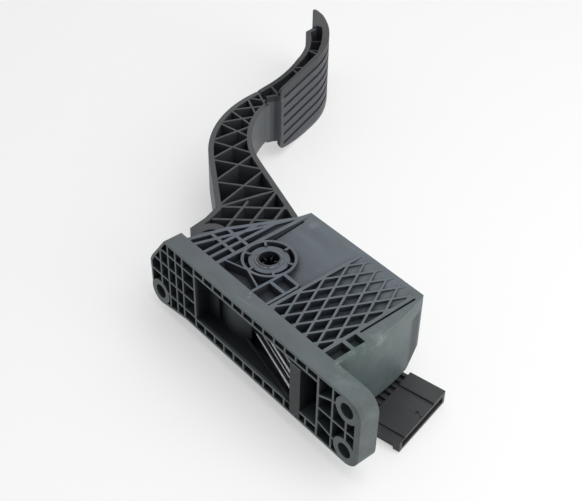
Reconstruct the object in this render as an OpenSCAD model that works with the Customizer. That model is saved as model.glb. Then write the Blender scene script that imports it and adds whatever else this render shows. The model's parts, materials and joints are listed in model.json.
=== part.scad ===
// Accelerator pedal module of a car: a ribbed plastic housing on a long
// mounting flange, a ribbed S-shaped arm with its foot pad in one moulding,
// two nested double torsion springs, and a contactless position sensor with
// its plug shell under the lower side wall.
//
// Drawing frame: X runs along the flange towards the plug, Y runs from the
// mounting wall towards the driver, Z is the pivot axis. The rear face of the
// flange is the plane y = 0. Everything is shifted at the end, so that bolt
// hole A lies on the row's Y axis.

/* [Mounting flange] */
// Left end of the flange
flange_x0 = -5; // [-6:0.5:-4.5]
// Right end of the flange
flange_x1 = 170; // [169:0.5:174]
// Height of the flange, which is also the width of the housing
flange_h = 46; // [45:0.5:48]
// Thickness of the flange
flange_t = 12; // [11.5:0.5:12.5]
// Outer wall around the flange
flange_wall = 1.6; // [1.4:0.1:2.2]
// Thick border at the right end of the flange
flange_end = 4; // [3:0.5:5]
// Closed front plate of the flange
flange_plate = 2.4; // [2:0.1:3]
// Thickness of the flange's ribs
flange_rib = 1.3; // [1:0.1:1.8]
// Radius of the three bolt holes
bolt_r = 4.5; // [3.5:0.1:5]
// Radius of the round boss about each bolt hole
bolt_boss_r = 8; // [7:0.5:8.5]
// Hole A, near the arm: X position
bolt_a_x = 3.5; // [3:0.5:4]
// Hole A: Z position
bolt_a_z = 4.5; // [4:0.5:5]
// Holes B and C, near the plug: X position
bolt_bc_x = 160; // [159:0.5:161]
// Hole B: distance under the flange's upper edge
bolt_b_edge = 8.5; // [8:0.5:9]
// Hole C: Z position
bolt_c_z = 8.5; // [8:0.5:9]
// Left edge of the window in the flange
window_x0 = 38; // [37.5:0.5:39]
// Right edge of the window
window_x1 = 138.5; // [138:0.5:139]
// Lower edge of the window
window_z0 = 8; // [7.5:0.5:8.5]
// Height of the ladder rail above the window
window_rail = 6.5; // [6:0.5:7]
// Number of cells in each ladder rail beside the window
rail_cells = 12; // [10:1:14]

/* [Housing] */
// Wall thickness of the housing
wall = 2.5; // [2.3:0.1:2.8]
// Outer face of the front wall
front_y = 80; // [79.5:0.5:81]
// How far the side wall starts below the height of its ribs
slope_drop = 6.5; // [5.5:0.1:6.5]
// Thickness of the ribs on the side wall
side_rib = 2; // [1.6:0.1:2.4]
// Thickness of the ribs of the diamond lattice
diamond_rib = 1.3; // [1:0.1:1.8]
// Width of one diamond along the flange
diamond_w = 8.5; // [8:0.1:9.5]
// Left side of the lattice panel
panel_x0 = 87.5; // [87:0.5:88]
// Right side of the lattice panel
panel_x1 = 129; // [128.5:0.5:129.5]

/* [Pivot] */
// Pivot axis: X position
pivot_x = 57.6; // [57:0.2:58]
// Pivot axis: Y position
pivot_y = 36.1; // [35.7:0.2:36.5]
// Radius of the pivot shaft
shaft_r = 7; // [6.8:0.1:7.1]
// Running clearance between the shaft and its bushes
run_gap = 0.05; // [0.03:0.01:0.08]
// Clearance of pressed and pushed-in pieces
push_gap = 0.03; // [0.02:0.01:0.05]
// Outer radius of the two bushes
bush_r = 8; // [7.9:0.1:8.2]
// Radius of the round face about the bush
face_r = 11.4; // [11.2:0.1:11.6]
// Inner radius of the ring that stands round the pivot
ring_r = 13.9; // [13.6:0.1:14]
// Wall of that ring
ring_wall = 1.6; // [1.4:0.1:1.8]
// Radius of the blind cores in the ends of the shaft
core_r = 5.8; // [5.5:0.1:5.9]

/* [Pedal arm] */
// Lower face of the arm
arm_z0 = 7; // [7:0.2:7.6]
// Distance of the arm's upper face under the flange's height
arm_drop = 11; // [11:0.2:11.6]
// Thickness of the two curved rims of the arm
rim_t = 3.4; // [3:0.1:3.8]
// Thickness of the crossed ribs
cross_rib = 1.3; // [1:0.1:1.8]
// Thickness of the web that closes the arm's pockets
web_t = 2; // [1.6:0.2:3]
// Height of the web above the arm's lower face
web_rise = 4; // [3:0.5:8]
// Lowest point of the foot pad's edge
pad_z0 = -9.8; // [-10:0.2:-8]
// Distance of the pad's upper edge under the flange's height
pad_drop = 2; // [1:0.5:3]
// Depth of the first groove under the pad's upper edge
groove_top = 6.9; // [6:0.1:8]
// Distance from groove to groove
groove_step = 7.4; // [6.6:0.1:7.6]
// Number of grooves along the pad
groove_n = 6; // [3:1:6]
// Width of one groove
groove_w = 2.6; // [1.6:0.1:3.2]
// Depth of a groove
groove_d = 1; // [0.6:0.1:1.4]
// Outer radius of the arm's hub
hub_r = 11.4; // [11:0.1:11.6]
// Outer radius of the open ring of the arm about the springs
cage_r = 22; // [21.5:0.1:22.4]
// Thickness of the rubber stop that the arm rests on
idle_len = 8; // [6:0.5:9]
// Thickness of the stop that ends the travel
full_stop_t = 1.5; // [1.2:0.1:1.7]

/* [Return springs] */
// Wire radius of both springs
wire_r = 1.1; // [0.9:0.05:1.1]
// Mean coil radius of the inner spring
coil_in_r = 13; // [12.8:0.1:13]
// Mean coil radius of the outer spring
coil_out_r = 15.6; // [15.5:0.1:15.7]
// Turns in each of a spring's two coils
coil_turns = 2.1; // [1.1:1:2.1]
// Rise of one turn
coil_pitch = 2.48; // [2.46:0.01:2.5]
// Length of the straight legs
leg_len = 67; // [66:0.5:67.5]
// Direction of the legs, in degrees from the X axis
leg_angle = -15.5; // [-15.7:0.1:-15.3]
// Height of the lower leg of each spring
leg_z0 = 13; // [13:0.05:13.2]
// Distance of their upper legs under the flange's height
leg_drop = 21.5; // [21.4:0.05:21.6]

/* [Sensor and plug] */
// Underside of the sensor cover
cover_z = -10.5; // [-11:0.1:-10.5]
// Wall of the cover
cover_wall = 3.2; // [3:0.1:3.4]
// Floor of the cover
cover_floor = 2; // [1.8:0.1:2.2]
// Left end of the cover
cover_x0 = 38; // [37:0.5:39]
// Right end of the cover
cover_x1 = 128; // [127:0.5:129]
// Lower side of the cover, towards the flange
cover_y0 = 16; // [15:0.5:16]
// Upper side of the cover, towards the driver
cover_y1 = 68; // [67.5:0.5:68.5]
// Thickness of the circuit board
board_t = 1.6; // [1.4:0.1:1.8]
// Radius of the magnet
magnet_r = 4; // [3.6:0.1:4.2]
// Upper face of the circuit board
board_z = -2.8; // [-3:0.1:-2.8]
// Turn of the plug shell from the X axis, in degrees
plug_angle = 12.3; // [12:0.1:12.6]
// Width of the plug shell
plug_w = 44; // [43:0.5:45]
// Top of the raised rails of the plug shell
plug_top = -1.7; // [-2:0.1:-1.6]
// Length of the plug shell past the end wall
plug_len = 26.3; // [25:0.1:28]
// Depth of the plug's mouth
mouth_depth = 16; // [14:0.5:18]
// Height of the plug's mouth
mouth_h = 4.6; // [4.4:0.1:4.8]
// Distance between neighbouring terminals
pin_pitch = 4.4; // [4:0.1:4.5]
// Width of a terminal blade
pin_w = 2.2; // [1.8:0.1:2.4]
// Thickness of a terminal blade
pin_t = 0.8; // [0.6:0.1:1]
// How far the blades' tips lie inside the mouth
pin_recess = 7; // [6:0.5:9]

/* [Hidden] */
// Facets of round things
$fn = 48;
// Little overlap where one solid grows out of another
eps = 0.2;
// Span of the ladder rails
post_step = (window_x1 - window_x0 + flange_rib) / rail_cells;
// Radius at which the rims run into the arm's ring
cage_in = cage_r - 1.2;
// Levels that follow the flange's height: window, hole B, side wall, arm, pad, legs
window_z1 = flange_h - window_rail;
bolt_b_z = flange_h - bolt_b_edge;
slope_z = flange_h - slope_drop;
arm_z1 = flange_h - arm_drop;
pad_z1 = flange_h - pad_drop;
leg_z1 = flange_h - leg_drop;
// Underside of the upper seat, and the top of the arm's hub just under it
seat_z = flange_h - 7.8;
hub_top = seat_z - 0.2;
// Middle height and half thickness of the hub's disc, between the springs' coils
disc_z = (leg_z0 + leg_z1) / 2;
disc_half = (leg_z1 - leg_z0) / 2 - wire_r - 0.65;
// Inner face of the front wall
inner_y = front_y - wall;
// Middle of the plug shell at the end wall
plug_root = [137.5, 48.5];
// Floor height of the sloping side wall at depth y
function slope(y) = slope_z + (flange_h - slope_z) * (y - flange_t) / (front_y - 2 - flange_t);
// Outer face of the end wall, bent a little; its inner face
end_wall = [[131.5, front_y], [134.4, 70.5], [136.7, 60], [138.3, 49], [139.4, 36],
    [139.9, 23], [140, 9.8]];
end_inner = [[129, inner_y], [131.9, 69.8], [134.2, 59.4], [135.8, 48.7], [136.9, 35.8],
    [137.4, 23], [137.5, 0]];
// Plan of the housing behind the flange
body_plan = concat([[15, 9.8], [22, 35], [28, 47], [40, 72], [42, front_y]], end_wall);
// Edge rib of the side wall where the arm comes out
exit_line = [[16.2, 9.8], [23.2, 34.6], [29.2, 46.5], [41.2, 71.5], [43.2, front_y]];
// Rear face of the arm: start, heading, then lengths with their turns
rear_path = [[-7.6, 49.1], 147.8, [[52, 0], [92.8, -62], [72.8, 61.3]]];
// Front face of the arm, up to the foot pad's heel
front_path = [[26.9, 81.9], 162.7, [[57.6, 0], [61.5, -49], [13.9, -71.4]]];
// Face of the foot pad, from its heel to its tip
pad_path = [[-70.5, 151], 110.4, [[50, 0], [76.5, 56.7]]];
// Where the crossed ribs meet the rear rim, along it
rear_nodes = [1, 25.5, 49, 69.5, 91, 108, 127, 137];
// Where they meet the front rim, along it
front_nodes = [25.5, 48, 66, 84, 97, 108.5, 122, 130.5];
// Ribs between the rear rim and the pad: place along the rear rim, along the pad
pad_ribs = [[147, 4], [168, 29], [168.5, 38], [193, 57]];
// The same for the two ribs that lie deep in the recess behind the tip
deep_ribs = [[202.5, 73], [214.5, 88]];
// Back of the pad: place along its face, thickness
pad_back = [[97, 4.9], [88, 4.8], [72, 4.4], [57, 2.8], [30, 2.5], [0, 2.2]];
// Lower edge of the pad: depth, height above its lowest point
pad_edge = [[149, 14], [150.6, 11], [151.4, 9.2], [153, 7.2], [155.2, 6.2], [161.8, 4.3],
    [173, 2.1], [183, 0.8], [193, 0.1], [211, 0], [219, 0.5], [227, 1.8], [234, 4.2],
    [240, 7.5], [244.5, 12], [248, 18]];

// Node to draw

// State of a path after one stretch: point and heading
function step(p, h, s) =
    s[1] == 0
    ? [p + s[0] * [cos(h), sin(h)], h]
    : let (r = s[0] * 180 / (PI * s[1]))
      [p + r * [sin(h + s[1]) - sin(h), cos(h) - cos(h + s[1])], h + s[1]];

// Point at length s along a path, moved d to its left
function at(path, s, d = 0, i = 0) =
    let (seg = path[2][i])
    let (more = s > seg[0] && i < len(path[2]) - 1)
    let (turn = seg[1] * min(1, s / seg[0]))
    let (part = step(path[0], path[1], more ? seg : [s, turn]))
    more
    ? at([part[0], part[1], path[2]], s - seg[0], d, i + 1)
    : part[0] + d * [-sin(part[1]), cos(part[1])];

// Whole length of a path
function total(path, i = 0) = i < len(path[2]) ? path[2][i][0] + total(path, i + 1) : 0;

// Points along a path from length a to length b, about 4 mm apart
function run(path, a, b, d = 0) =
    let (n = ceil((b - a) / 4))
    [for (i = [0 : n]) at(path, a + (b - a) * i / n, d)];

// Turns the order of a list round
function flip(v) = [for (i = [len(v) - 1 : -1 : 0]) v[i]];

// Strip along a path between the offsets d0 and d1
module strip(path, a, b, d0, d1) {
    polygon(concat(run(path, a, b, d0), flip(run(path, a, b, d1))));
}

// Straight rib from point a to point b
module bar(a, b, t) {
    u = (b - a) / norm(b - a);
    n = [-u[1], u[0]] * t / 2;
    polygon([a + n, a - n, b - n, b + n]);
}

// Ribs from point to point of a list
module bars(v, t) {
    for (i = [0 : len(v) - 2]) bar(v[i], v[i + 1], t);
}

// Part of a flat ring between two angles
module ring_part(r0, r1, a0, a1) {
    n = ceil((a1 - a0) / 7.5);
    function round_pts(r) = [for (i = [0 : n]) r * [cos(a0 + (a1 - a0) * i / n),
        sin(a0 + (a1 - a0) * i / n)]];
    polygon(concat(round_pts(r0), flip(round_pts(r1))));
}

// Moves a shape from the drawing frame to the row's frame
module placed() {
    translate([-bolt_a_x, 0, -bolt_a_z]) children();
}

// Stands a drawing in X and Z up between two depths
module upright(y0, y1) {
    translate([0, y1, 0]) rotate([90, 0, 0]) linear_extrude(y1 - y0) children();
}

// Moves a shape to the pivot axis
module at_pivot(z = 0) {
    translate([pivot_x, pivot_y, z]) children();
}

// Outline of the flange, in X and Z
module flange_outline() {
    polygon([[flange_x0 + 0.5, bolt_a_z], [flange_x0, 24], [flange_x0 + 2, 28], [10, flange_h],
        [bolt_bc_x, flange_h], [flange_x1, flange_h - 10], [flange_x1, 10], [bolt_bc_x, 0],
        [28, 0], [bolt_a_x + 1, bolt_a_z - 8.4], [bolt_a_x, bolt_a_z]]);
    translate([bolt_a_x, bolt_a_z]) circle(8.5);
    translate([flange_x1 - 10, flange_h - 10]) circle(10);
    translate([flange_x1 - 10, 10]) circle(10);
}

// Core of the flange, inside its outer wall
module flange_core() {
    w = flange_wall;
    polygon([[flange_x0 + w, bolt_a_z - 3], [flange_x0 + w, 23.6], [flange_x0 + 2 + w, 27.2],
        [10.6, flange_h - w], [bolt_bc_x + 1, flange_h - w], [flange_x1 - flange_end, flange_h - 9],
        [flange_x1 - flange_end, 9], [bolt_bc_x + 1, w], [28, w], [bolt_a_x + 1, bolt_a_z - 6.6]]);
}

// Ribs of the flange, seen from behind
module flange_ribs() {
    t = flange_rib;
    for (x = [5.5, 13, 20, 26.5]) bar([x, -5], [x, flange_h], t);
    for (z = [8, 18.5, 28.5, 38]) bar([flange_x0, z], [window_x0, z], t);
    for (i = [0 : rail_cells]) {
        x = window_x0 - t / 2 + i * post_step;
        bar([x, window_z1], [x, flange_h], t);
        bar([x, 0], [x, window_z0], t);
    }
    bar([150, 0], [150, flange_h], t);
    bar([bolt_bc_x, 0], [bolt_bc_x, flange_h], t);
    bar([window_x1, 22.8], [flange_x1, 22.8], t);
    bars([[window_x1, 31], [150, 36], [bolt_bc_x, bolt_b_z]], t);
    bars([[window_x1, 13], [150, 10], [bolt_bc_x, bolt_c_z]], t);
}

// Frame round the window
module window_frame() {
    t = 1.5;
    translate([window_x0 - t, window_z0 - t])
        square([window_x1 - window_x0 + 2 * t, window_z1 - window_z0 + 2 * t]);
}

// The window itself
module window_hole() {
    translate([window_x0, window_z0]) square([window_x1 - window_x0, window_z1 - window_z0]);
}

// Places of the three bolts, in X and Z
module at_bolts() {
    translate([bolt_a_x, bolt_a_z]) children();
    translate([bolt_bc_x, bolt_b_z]) children();
    translate([bolt_bc_x, bolt_c_z]) children();
}

// Mounting flange, open to the rear between its ribs
module flange() {
    difference() {
        upright(0, flange_t) flange_outline();
        upright(-1, flange_t - flange_plate) difference() {
            flange_core();
            flange_ribs();
            window_frame();
            at_bolts() circle(bolt_boss_r);
        }
        upright(-1, flange_t + 1) window_hole();
        upright(-1, flange_t + 1) at_bolts() circle(bolt_r);
    }
}

// Cross-section of the housing, in Y and Z, run along X
module along_x(pts) {
    translate([-30, 0, 0]) rotate([90, 0, 90]) linear_extrude(190) polygon(pts);
}

// Walls of the box behind the flange
module box_walls() {
    y0 = flange_t - flange_plate + eps;
    difference() {
        intersection() {
            linear_extrude(flange_h + 1) polygon(body_plan);
            along_x([[y0, 0], [69, 0], [front_y, 9.5], [front_y, flange_h],
                [front_y - 2, flange_h], [y0, slope(y0)]]);
        }
        intersection() {
            translate([0, 0, -1]) linear_extrude(flange_h + 2)
                polygon(concat([[-20, 0], [-20, 90]], end_inner));
            along_x([[0, 2.8], [67.8, 2.8], [inner_y, 11], [inner_y, slope(inner_y) - wall],
                [0, slope(0) - wall]]);
        }
    }
}

// Ribs on the visible side wall, seen along the pivot
module side_ribs() {
    t = side_rib;
    y0 = flange_t - 1;
    bars(exit_line, 2.4);
    bars([[22, y0], [40.3, 70]], t);
    bars([[31, y0], [31, 49]], t);
    bars([[36.5, y0], [36.5, 61]], t);
    bars([[42.6, y0], [42.6, front_y]], t + 0.4);
    tangent_x = pivot_x + ring_r + ring_wall / 2;
    for (y = [24.5, 34]) {
        bar([19, y], [43, y], t);
        bar([tangent_x, y], [85, y], t);
    }
    bar([tangent_x, y0], [tangent_x, pivot_y + 1], ring_wall);
    bars([[43, 16.5], [pivot_x, pivot_y - ring_r - 1], [72, 16.5]], 1);
    bar([84.8, y0], [84.8, 33], ring_wall);
    bar([panel_x0, y0], [panel_x0, 76], t);
    bar([panel_x1, y0], [panel_x1, 78], t);
}

// Shoulder between the panel and the end wall, with two cells
module shoulder() {
    difference() {
        translate([panel_x1, flange_t - 1]) square([12, 70]);
        translate([panel_x1 + 1.1, flange_t - 2]) square([7, 13.4]);
        translate([panel_x1 + 1.1, 25.8]) square([7, 7]);
    }
}

// Narrow slots beside two of the side ribs
module rib_slots() {
    x = panel_x1 + 1.1;
    intersection() {
        union() {
            translate([44, 47, 0]) cube([1.4, 25, flange_h + 1]);
            translate([x, 35.4, 0]) cube([1.3, 39, flange_h + 1]);
        }
        along_x([[34, slope(34) - 1.9], [inner_y, slope(inner_y) - 1.9], [inner_y, flange_h + 1],
            [34, flange_h + 1]]);
    }
}

// Diamond lattice between the two side ribs of the panel
module diamonds() {
    n = ceil((panel_x1 - panel_x0) / diamond_w);
    rise = 2 * diamond_w;
    intersection() {
        translate([panel_x0, flange_t - 1]) square([panel_x1 - panel_x0, 67]);
        union() {
            for (i = [-8 : n]) {
                x = panel_x0 + 0.4 + i * diamond_w;
                bar([x, flange_t], [x + 36, flange_t + 72], diamond_rib);
                bar([x + 36 + diamond_w, flange_t], [x + diamond_w, flange_t + 72], diamond_rib);
            }
        }
    }
}

// All ribs of the side wall, cut off level with the flange
module side_relief() {
    intersection() {
        linear_extrude(flange_h) intersection() {
            polygon(body_plan);
            union() {
                side_ribs();
                diamonds();
                shoulder();
            }
        }
        along_x([[9, slope(9) - 1], [front_y, slope(front_y) - 1], [front_y, flange_h],
            [9, flange_h]]);
    }
}

// Round seat of the upper bush, with a floor, a ring and six short spokes about it
module upper_seat() {
    at_pivot(seat_z) cylinder(h = flange_h - 1 - seat_z, r = face_r);
    at_pivot(seat_z + 0.1) cylinder(h = 1.3, r = ring_r + ring_wall / 2);
    at_pivot(seat_z + 0.4) linear_extrude(flange_h - seat_z - 0.4) {
        difference() {
            circle(ring_r + ring_wall);
            circle(ring_r);
        }
        for (a = [30 : 60 : 330]) rotate(a) translate([face_r - 0.5, -0.7])
            square([ring_r - face_r + 1, 1.4]);
    }
}

// Rear wall behind the springs, flat beside the arm and round about the hub
module rear_wall() {
    translate([27, flange_t - 2, 1]) cube([19, 2, slope_z - 2.5]);
    at_pivot(1) linear_extrude(slope_z - 2.5) ring_part(24.5, 26.5, -118, -60);
}

// Post that holds the bent ends of the springs
module spring_post() {
    difference() {
        union() {
            translate([119.5, 0, 2]) cube([6.5, flange_t + 1, slope_z - 3.5]);
            translate([115.5, 4, 2]) cube([6, flange_t - 3, slope_z - 3.5]);
            translate([119.5, 4, 2]) cylinder(h = slope_z - 3.5, r = 4);
        }
        translate([110, 1.6, leg_z0 - 1.9]) cube([12, 6.7, leg_z1 - leg_z0 + 3.8]);
    }
}

// Low guard rib on the sill of the window, under the springs' legs
module sill_rib() {
    translate([0, 0, window_z0 - 1]) linear_extrude(2.5) bar([68, 11.8], [116.5, 1.6], 1.2);
}

// Bosses inside the lower wall for the screws of the cover
module screw_posts() {
    at_screws() translate([0, 0, 1]) cylinder(h = 5.4, r = 3.6);
}

// Places of the four cover screws
function screw_at(i) = [i < 2 ? cover_x0 + 6.5 : cover_x1 - 10,
    i % 2 == 0 ? cover_y0 + 6.5 : cover_y1 - 6.5];
module at_screws() {
    for (i = [0 : 3]) translate(screw_at(i)) children();
}

// Housing: flange, box, ribs and seats in one moulding
module housing() {
    color([0.26, 0.29, 0.29]) placed() difference() {
        union() {
            flange();
            difference() {
                union() {
                    box_walls();
                    side_relief();
                }
                at_pivot(seat_z + 1.2) cylinder(h = 20, r = ring_r + 0.5);
                rib_slots();
            }
            upper_seat();
            rear_wall();
            spring_post();
            sill_rib();
            screw_posts();
            at_pivot(0) cylinder(h = 6.4, r = face_r);
        }
        at_pivot(hub_top) cylinder(h = 10, r = bush_r + push_gap);
        at_pivot(-1) cylinder(h = 9, r = bush_r + push_gap);
        at_screws() translate([0, 0, -1]) cylinder(h = 6.8, r = 1.5);
    }
}

// Plan of the arm inside the housing, from its heel to its hub
module arm_root_plan() {
    c = [pivot_x, pivot_y];
    polygon([[-1.6, 25.9], [-3.6, 38], rear_path[0], at(rear_path, 3), at(front_path, 26),
        front_path[0], [54, 71.6], [66, 64.5],
        c + cage_in * [cos(30), sin(30)], c + 12 * [cos(30), sin(30)],
        c + 12 * [cos(228), sin(228)], c + cage_in * [cos(228), sin(228)], [14, 24.6]]);
}

// Rims of the arm inside the housing
module arm_root_rims() {
    t = rim_t;
    c = [pivot_x, pivot_y];
    intersection() {
        union() {
            bars([[-1.6, 25.9], [-3.6, 38], rear_path[0], at(rear_path, 4)], 2 * t);
            bars([at(front_path, 4), front_path[0], [54, 71.6], [66, 64.5],
                c + cage_in * [cos(30), sin(30)]], 2 * t);
            bars([c + cage_in * [cos(228), sin(228)], [14, 24.6], [-1.6, 25.9]], 2 * t);
            for (p = [[-3.6, 38], rear_path[0], [14, 24.6]]) translate(p) circle(t, $fn = 12);
        }
        arm_root_plan();
    }
    translate(c) ring_part(cage_r - 3, cage_r, 27, 231);
}

// Diamond ribs of the arm where it enters the housing
module arm_root_ribs() {
    t = cross_rib + 0.3;
    slant = [11.6, 0.5];
    intersection() {
        union() {
            for (k = [0 : 3]) {
                o = k * [9.4, -7.2];
                bar([-9.9, 48] + o, [30, 93] + o, t);
            }
            bar([-0.6, 67.6], [18, 28], t);
            bar(at(rear_path, 0), at(front_path, 26), t);
        }
        arm_root_plan();
    }
    intersection() {
        for (k = [1 : 3]) bar([-8.7, 86] + k * slant, [18, 28] + k * slant, t);
        web_plan();
    }
}

// Crossed ribs between the two rims, up to the heel of the pad
module arm_cross_ribs() {
    for (i = [0 : len(front_nodes) - 2]) {
        bar(at(rear_path, rear_nodes[i], -1), at(front_path, front_nodes[i + 1], 1), cross_rib);
        bar(at(rear_path, rear_nodes[i + 1], -1), at(front_path, front_nodes[i], 1), cross_rib);
    }
}

// Block with a curved slot that fills the heel of the arm
module heel_block() {
    difference() {
        polygon([[-1, 26], [0.2, 32.5], [1.6, 36.5], [4.5, 40], [8.5, 41.7], [15.3, 41.7],
            [20, 36], [24, 30], [14, 25]]);
        polygon([[5.4, 28.2], [5.5, 30.8], [6.1, 33.3], [8.2, 36.4], [9.5, 35.7], [7.8, 32.5],
            [6.7, 30.2]]);
    }
}

// Plan of everything in the arm as thick as the arm
module arm_plan() {
    strip(rear_path, 0, total(rear_path), -rim_t, 0);
    strip(front_path, 0, total(front_path), 0, rim_t);
    arm_root_rims();
    arm_root_ribs();
    arm_cross_ribs();
}

// Area between the rims and behind the pad, for the web
module web_plan() {
    polygon(concat(run(rear_path, 0, total(rear_path) - 1, -1), flip(run(pad_path, 5, 97, 1.5)),
        flip(run(front_path, 0, 129, 1))));
    arm_root_plan();
}

// Plan of the pad with its thick tip
module pad_plan() {
    n = total(pad_path);
    tip = at(pad_path, n);
    polygon(concat(run(pad_path, 0, n), [tip + [-0.6, -1.4], tip + [1, -4.6],
        [-123.4, 225.2], [-123, 229.2]], [for (q = pad_back) at(pad_path, q[0], q[1])]));
}

// Rear rim and ribs behind the pad; the rim runs into the thick tip
module pad_back_plan() {
    n = total(rear_path);
    strip(rear_path, 138, n, -rim_t, 0);
    polygon([at(rear_path, n - 3, -rim_t), at(rear_path, n - 3), at(rear_path, n),
        [-123.6, 225.6], [-120.4, 226.4], at(rear_path, n - 1, -rim_t)]);
    for (r = pad_ribs) bar(at(rear_path, r[0], -1), at(pad_path, r[1], 1.5), cross_rib);
    bar([-80.6, 155.4], at(pad_path, 6, 1.5), cross_rib);
}

// Foot pad with its grooves; the back widens from arm to pad
module pad() {
    n = total(pad_path);
    difference() {
        intersection() {
            translate([0, 0, pad_z0 - 1]) linear_extrude(pad_z1 - pad_z0 + 1) pad_plan();
            along_y(concat([for (q = pad_edge) [q[0], pad_z0 + q[1]]], [[248, pad_z1 - 4],
                [246.5, pad_z1 - 1.4], [243, pad_z1], [153, pad_z1], [149, pad_z1 - 2]]));
        }
        for (i = [0 : groove_n - 1]) {
            translate([0, 0, pad_z1 - groove_top - i * groove_step - groove_w / 2])
                linear_extrude(groove_w) strip(pad_path, 5, n - 14, -1, groove_d);
        }
    }
    translate([0, 0, arm_z0 - 2]) linear_extrude(arm_z1 - arm_z0 + 8)
        bars([[-75.2, 142.6], [-73.4, 147.6], [-71, 151.6]], 2);
    intersection() {
        translate([0, 0, pad_z0]) linear_extrude(pad_z1 - pad_z0) pad_back_plan();
        along_y([[138, arm_z0], [146, arm_z0], [188, arm_z0 - 7.5], [260, arm_z0 - 7.5],
            [260, pad_z1 - 1], [188, pad_z1 - 1], [146, arm_z1], [138, arm_z1]]);
    }
    translate([0, 0, arm_z0]) linear_extrude(pad_z1 - 7 - arm_z0)
        for (r = deep_ribs) bar(at(rear_path, r[0], -1), at(pad_path, r[1], 1.5), cross_rib);
}

// Cross-section in Y and Z, run along X over the whole arm
module along_y(pts) {
    translate([-170, 0, 0]) rotate([90, 0, 90]) linear_extrude(260) polygon(pts);
}

// Room for the bevelled lower corner of the housing
module corner_room() {
    intersection() {
        along_y([[65, -9], [65, 1.4], [86, 19.2], [86, -9]]);
        translate([38, 60, -5]) cube([30, 30, 30]);
    }
}

// Lug on the cage that carries the hook of the outer spring
hook_angle = leg_angle - 90 - coil_turns * 360;
module hook_lugs() {
    at_pivot(arm_z0) linear_extrude(arm_z1 - arm_z0)
        rotate(hook_angle - 9.5) translate([17.4, -1.4]) square([cage_r - 19, 2.8]);
}

// Pedal arm: rims, crossed ribs, hub and foot pad in one moulding
module pedal_arm() {
    color([0.27, 0.28, 0.28]) placed() difference() {
        union() {
            difference() {
                union() {
                    translate([0, 0, arm_z0]) linear_extrude(arm_z1 - arm_z0) arm_plan();
                    translate([0, 0, arm_z0 + web_rise]) linear_extrude(web_t) web_plan();
                    translate([0, 0, arm_z1 - 9]) linear_extrude(9) intersection() {
                        heel_block();
                        arm_root_plan();
                    }
                }
                at_pivot(0) cylinder(h = 50, r = 18.9);
            }
            at_pivot(disc_z - disc_half) cylinder(h = 2 * disc_half, r = 19.4);
            at_pivot(arm_z0) cylinder(h = hub_top - arm_z0, r = hub_r);
            hook_lugs();
            pad();
        }
        at_pivot(0) cylinder(h = 60, r = shaft_r + push_gap);
        at_pivot(0) rotate(hook_angle) {
            for (z = [leg_z0 - coil_turns * coil_pitch, leg_z1 + coil_turns * coil_pitch])
                translate([8.4, -1.5, z - 1.5]) cube([4, 3, 3]);
        }
        corner_room();
    }
}

// Pivot shaft with a bevelled end and cored ends; six thin blades in the upper core
module pivot_shaft() {
    top = flange_h;
    color([0.2, 0.2, 0.21]) placed() at_pivot(0) {
        difference() {
            union() {
                translate([0, 0, 1.2]) cylinder(h = top - 2, r = shaft_r);
                translate([0, 0, top - 0.8]) cylinder(h = 0.8, r1 = shaft_r, r2 = shaft_r - 0.6);
            }
            translate([0, 0, top - 11]) cylinder(h = 20, r = core_r);
            translate([0, 0, -1]) cylinder(h = 9, r = core_r);
        }
        translate([0, 0, top - 11.2]) linear_extrude(8.4) for (a = [0 : 60 : 300])
            rotate(a) translate([2.6, -0.3]) square([core_r - 2.3, 0.6]);
    }
}

// Plain bush
module bush(z0, z1) {
    color([0.72, 0.7, 0.62]) placed() at_pivot(z0) difference() {
        cylinder(h = z1 - z0, r = bush_r);
        translate([0, 0, -1]) cylinder(h = z1 - z0 + 2, r = shaft_r + run_gap);
    }
}
module bush_upper() {
    bush(seat_z + 0.4, flange_h - 0.7);
}
module bush_lower() {
    bush(0.4, 6.3);
}

// Unit vector
function unit(v) = v / norm(v);

// Directions along a list of points
function headings(p) = [for (i = [0 : len(p) - 1])
    unit(p[min(i + 1, len(p) - 1)] - p[max(i - 1, 0)])];

// Side directions carried along a path without twist
function sides(t, i, last) =
    i == len(t)
    ? []
    : let (v = unit(last - (last * t[i]) * t[i]))
      concat([v], sides(t, i + 1, v));

// Round wire along a list of points
module wire(p, r, n = 8) {
    t = headings(p);
    s = sides(t, 0, [0, 0, 1]);
    m = len(p);
    pts = [for (i = [0 : m - 1]) for (k = [0 : n - 1])
        p[i] + r * (cos(k * 360 / n) * s[i] + sin(k * 360 / n) * cross(t[i], s[i]))];
    skin = [for (i = [0 : m - 2]) for (k = [0 : n - 1])
        [i * n + k, i * n + (k + 1) % n, (i + 1) * n + (k + 1) % n, (i + 1) * n + k]];
    ends = [[for (k = [n - 1 : -1 : 0]) k], [for (k = [0 : n - 1]) (m - 1) * n + k]];
    polyhedron(pts, concat(skin, ends), convexity = 10);
}

// Point on a circle about the pivot
function polar(r, a, z) = [pivot_x + r * cos(a), pivot_y + r * sin(a), z];

// Lower half of a double torsion spring: hook, coil, leg
function half_spring(r, hook, z, up) =
    let (a1 = leg_angle - 90)
    let (a0 = hook_angle)
    let (ze = z + up * coil_turns * coil_pitch)
    let (n = ceil(coil_turns * 18))
    let (e = polar(r, a1, z) + leg_len * [cos(leg_angle), sin(leg_angle), 0])
    let (u = [cos(leg_angle), sin(leg_angle), 0])
    concat(
        [polar(hook, a0, ze), polar(r + (hook > r ? 1.7 : -1.7), a0, ze),
            polar(r + (hook > r ? 0.55 : -0.55), a0 + 2, ze)],
        [for (i = [0 : n]) polar(r, a0 + 8 + (a1 - a0 - 8) * i / n,
            ze + (z - ze) * i / n)],
        [e - 2.5 * u, e - 0.75 * u - [0, 0, up * 0.75]]);

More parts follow.
